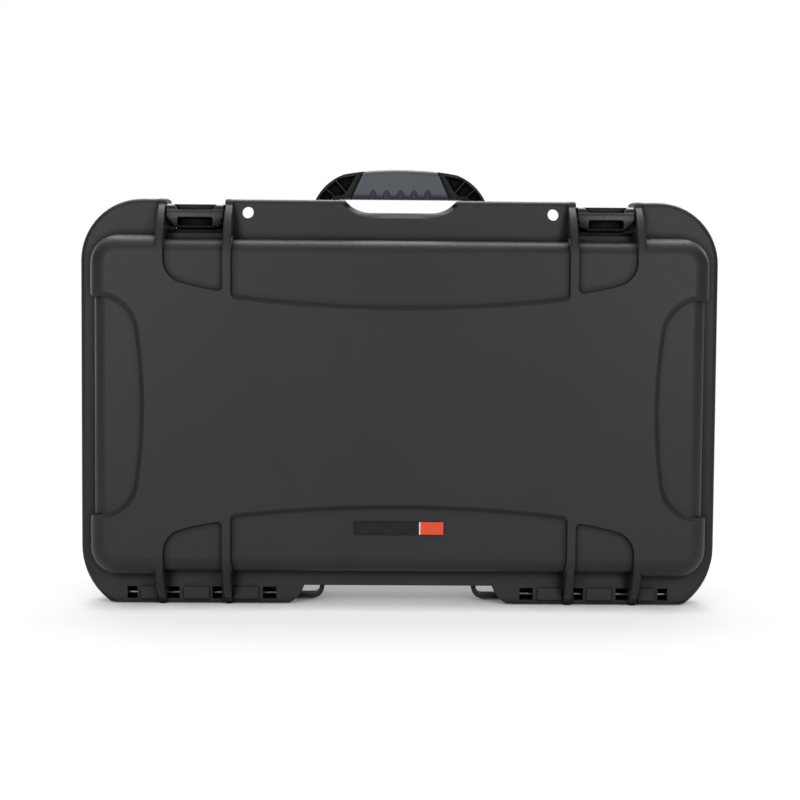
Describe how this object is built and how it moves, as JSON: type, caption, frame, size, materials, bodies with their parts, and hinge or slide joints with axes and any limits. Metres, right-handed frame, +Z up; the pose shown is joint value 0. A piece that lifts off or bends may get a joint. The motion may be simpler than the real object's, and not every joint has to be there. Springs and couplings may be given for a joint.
{
  "type": "hard carry case",
  "caption": "Wheeled hard plastic carry case that stands on its hinge side, with a stepped dome lid, claw latches, folding carry handle and telescopic pull handle.",
  "frame": {"origin": "on the ground under the standing case, midway along its width and its depth", "axes": "+X to the viewer's right along the case's width, +Y from the lid's face to the back, +Z up from the hinge side to the carry handle"},
  "size_m": [0.559, 0.229, 0.386],
  "materials": {
    "case_plastic": "fine moulded grain, satin",
    "latch_plastic": "satin",
    "fitting_plastic": "satin",
    "button_plastic": "smooth",
    "hub_plastic": "satin",
    "grip_rubber": "soft, matt",
    "seal_rubber": "matt",
    "wheel_rubber": "matt",
    "pin_steel": "plain",
    "tube_metal": "dark anodised",
    "badge_dark": "smooth",
    "badge_colour": "smooth"
  },
  "bodies": {
    "base": {"base_shell": "case_plastic", "hinge_pin_left": "pin_steel", "hinge_pin_right": "pin_steel", "valve_body": "fitting_plastic", "valve_cap": "fitting_plastic", "latch_pivot_pin_left": "pin_steel", "latch_pivot_pin_right": "pin_steel", "handle_pivot_pins": "pin_steel", "wheel_axle_lower": "pin_steel", "wheel_axle_upper": "pin_steel", "pull_clamp": "fitting_plastic", "pull_collar": "fitting_plastic", "pull_outer_tubes": "tube_metal", "pull_screws": "pin_steel"},
    "lid": {"lid_shell": "case_plastic", "lid_seal": "seal_rubber", "badge_plate": "badge_dark", "badge_tile": "badge_colour"},
    "carry_handle": {"handle_frame": "fitting_plastic", "handle_grip": "grip_rubber"},
    "trolley_middle": {"pull_middle_tubes": "tube_metal"},
    "trolley_inner": {"pull_inner_tubes": "tube_metal", "pull_grip": "fitting_plastic"},
    "release_button": {"pull_button": "button_plastic"},
    "lever_left": {"latch_lever_left": "latch_plastic", "latch_claw_pin_left": "pin_steel"},
    "claw_left": {"latch_claw_left": "latch_plastic"},
    "slider_left": {"latch_slider_left": "button_plastic"},
    "lever_right": {"latch_lever_right": "latch_plastic", "latch_claw_pin_right": "pin_steel"},
    "claw_right": {"latch_claw_right": "latch_plastic"},
    "slider_right": {"latch_slider_right": "button_plastic"},
    "wheel_lower": {"wheel_tyre_lower": "wheel_rubber", "wheel_hub_lower": "hub_plastic", "wheel_bearings_lower": "pin_steel"},
    "wheel_upper": {"wheel_tyre_upper": "wheel_rubber", "wheel_hub_upper": "hub_plastic", "wheel_bearings_upper": "pin_steel"}
  },
  "joints": [
    {"name": "lid_hinge", "type": "hinge", "parent": "base", "child": "lid", "pos_m": [0, -0.0745, 0.0085], "axis": [1, 0, 0], "range_deg": [0, 98]},
    {"name": "handle_fold", "type": "hinge", "parent": "base", "child": "carry_handle", "pos_m": [0, -0.038, 0.338], "axis": [-1, 0, 0], "range_deg": [0, 90]},
    {"name": "pull_stage_one", "type": "slide", "parent": "base", "child": "trolley_middle", "axis": [1, 0, 0], "range_m": [0, 0.19]},
    {"name": "pull_stage_two", "type": "slide", "parent": "trolley_middle", "child": "trolley_inner", "axis": [1, 0, 0], "range_m": [0, 0.19]},
    {"name": "button_press", "type": "slide", "parent": "trolley_inner", "child": "release_button", "axis": [-1, 0, 0], "range_m": [0, 0.004], "stiffness_N_per_m": 400, "springref_m": -0.003},
    {"name": "latch_lift_left", "type": "hinge", "parent": "base", "child": "lever_left", "pos_m": [-0.17855, -0.043, 0.337], "axis": [1, 0, 0], "range_deg": [0, 80]},
    {"name": "claw_turn_left", "type": "hinge", "parent": "lever_left", "child": "claw_left", "pos_m": [-0.17855, -0.031, 0.346], "axis": [1, 0, 0], "range_deg": [-96.5, 0.5]},
    {"name": "lock_slide_left", "type": "slide", "parent": "lever_left", "child": "slider_left", "axis": [0, 1, 0], "range_m": [0, 0.005]},
    {"name": "latch_lift_right", "type": "hinge", "parent": "base", "child": "lever_right", "pos_m": [0.17855, -0.043, 0.337], "axis": [1, 0, 0], "range_deg": [0, 80]},
    {"name": "claw_turn_right", "type": "hinge", "parent": "lever_right", "child": "claw_right", "pos_m": [0.17855, -0.031, 0.346], "axis": [1, 0, 0], "range_deg": [-96.5, 0.5]},
    {"name": "lock_slide_right", "type": "slide", "parent": "lever_right", "child": "slider_right", "axis": [0, 1, 0], "range_m": [0, 0.005]},
    {"name": "wheel_spin_lower", "type": "hinge", "parent": "base", "child": "wheel_lower", "pos_m": [-0.2495, 0.0845, 0.06], "axis": [0, 0, 1], "continuous": true},
    {"name": "wheel_spin_upper", "type": "hinge", "parent": "base", "child": "wheel_upper", "pos_m": [-0.2495, 0.0845, 0.292], "axis": [0, 0, 1], "continuous": true}
  ],
  "couplings": [
    {"joint": "claw_turn_left", "follows": "latch_lift_left", "ratio": -1.2},
    {"joint": "claw_turn_right", "follows": "latch_lift_right", "ratio": -1.2}
  ]
}
